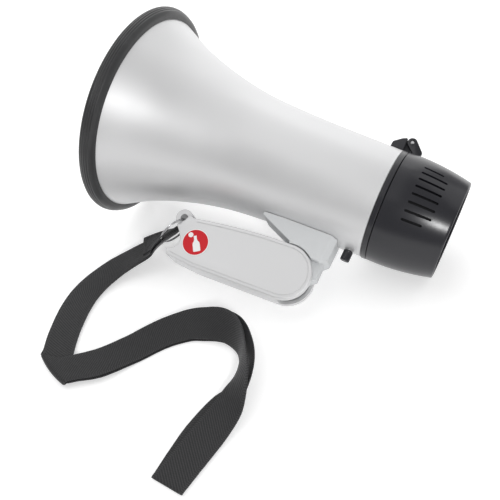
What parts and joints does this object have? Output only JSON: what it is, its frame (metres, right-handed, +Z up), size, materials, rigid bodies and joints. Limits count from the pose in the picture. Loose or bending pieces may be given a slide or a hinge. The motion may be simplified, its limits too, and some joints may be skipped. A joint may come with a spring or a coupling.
{
  "type": "handheld megaphone",
  "caption": "Small flared-horn megaphone with a folding pistol grip and trigger, a hinged louvred rear cap and a wrist strap, lying on its side with the grip folded.",
  "frame": {"origin": "on the surface the megaphone lies on, under the centre of its box without the wrist strap", "axes": "+X towards the rear cap (the mouth faces -X), +Y away from the folded grip, +Z up off the surface"},
  "size_m": [0.2566, 0.2906, 0.1559],
  "materials": {
    "silver_plastic": "silver metallic paint on moulded ABS, satin",
    "rubber": "black rubber, fine concentric ribs, satin",
    "gloss_black": "high-gloss black ABS",
    "black_plastic": "black moulded plastic, light texture",
    "grey_plastic": "light grey moulded plastic",
    "steel": "nickel-plated steel",
    "brass": "stamped brass contact",
    "board": "circuit board with green solder mask",
    "cell_can": "printed metal can",
    "magnet": "dark ferrite and laminated iron",
    "cone": "phenolic film diaphragm",
    "red_plastic": "red, printed or moulded in colour",
    "webbing": "black woven nylon webbing"
  },
  "bodies": {
    "megaphone": {"horn_bell": "silver_plastic", "rim_bumper": "rubber", "bulkhead": "black_plastic", "driver_magnet": "magnet", "driver_frame": "black_plastic", "driver_diaphragm": "cone", "throat_tube": "black_plastic", "reflector_cup": "black_plastic", "battery_tray": "black_plastic", "front_contact_plate": "brass", "battery_1": "cell_can", "battery_2": "cell_can", "battery_3": "cell_can", "battery_4": "cell_can", "amplifier_board": "board", "output_transformer": "magnet", "filter_capacitor": "cell_can", "volume_pot": "steel", "rear_collar": "gloss_black", "cap_hinge_base": "black_plastic", "cap_hinge_pin": "steel", "handle_bracket": "grey_plastic", "bracket_screw_1": "steel", "bracket_screw_2": "steel"},
    "rear_cap": {"rear_cap": "gloss_black", "cap_bulkhead": "black_plastic", "rear_contact_plate": "brass", "battery_spring_1": "steel", "battery_spring_2": "steel", "end_plate": "gloss_black", "mic_grille": "steel", "mic_capsule": "steel", "control_board": "board"},
    "mode_slider": {"mode_slider": "red_plastic"},
    "volume_knob": {"volume_knob": "gloss_black"},
    "handle": {"handle_shell_left": "silver_plastic", "handle_shell_right": "silver_plastic", "handle_pivot_pin": "steel", "opener_tooth": "steel", "handle_screw_1": "steel", "handle_screw_2": "steel", "handle_screw_3": "steel", "round_sticker": "red_plastic", "trigger_spring": "steel", "trigger_switch": "black_plastic", "switch_frame": "black_plastic"},
    "trigger": {"trigger": "grey_plastic"},
    "strap_ring": {"split_ring": "steel", "wrist_strap": "webbing"}
  },
  "joints": [
    {"name": "handle_fold", "type": "hinge", "parent": "megaphone", "child": "handle", "pos_m": [0.03042, -0.0575, 0.02026], "axis": [0.173, -0.4459, 0.8782], "range_deg": [0, 81]},
    {"name": "trigger_press", "type": "slide", "parent": "handle", "child": "trigger", "axis": [0.0083, -0.891, -0.454], "range_m": [0, 0.0025], "stiffness_N_per_m": 400, "springref_m": -0.001},
    {"name": "cap_swing", "type": "hinge", "parent": "megaphone", "child": "rear_cap", "pos_m": [0.08071, 0.04597, 0.06289], "axis": [0.173, -0.4459, 0.8782], "range_deg": [0, 100]},
    {"name": "mode_slide", "type": "slide", "parent": "rear_cap", "child": "mode_slider", "axis": [-0.173, 0.4459, -0.8782], "range_m": [-0.0033, 0.0033]},
    {"name": "volume_turn", "type": "hinge", "parent": "megaphone", "child": "volume_knob", "pos_m": [0.06369, -0.03199, 0.02666], "axis": [-0.0862, -0.8951, -0.4375], "range_deg": [0, 300]},
    {"name": "ring_swing", "type": "hinge", "parent": "handle", "child": "strap_ring", "pos_m": [-0.0485, -0.05047, 0.03938], "axis": [-0.173, 0.4459, -0.8782], "range_deg": [-5, 20]}
  ]
}
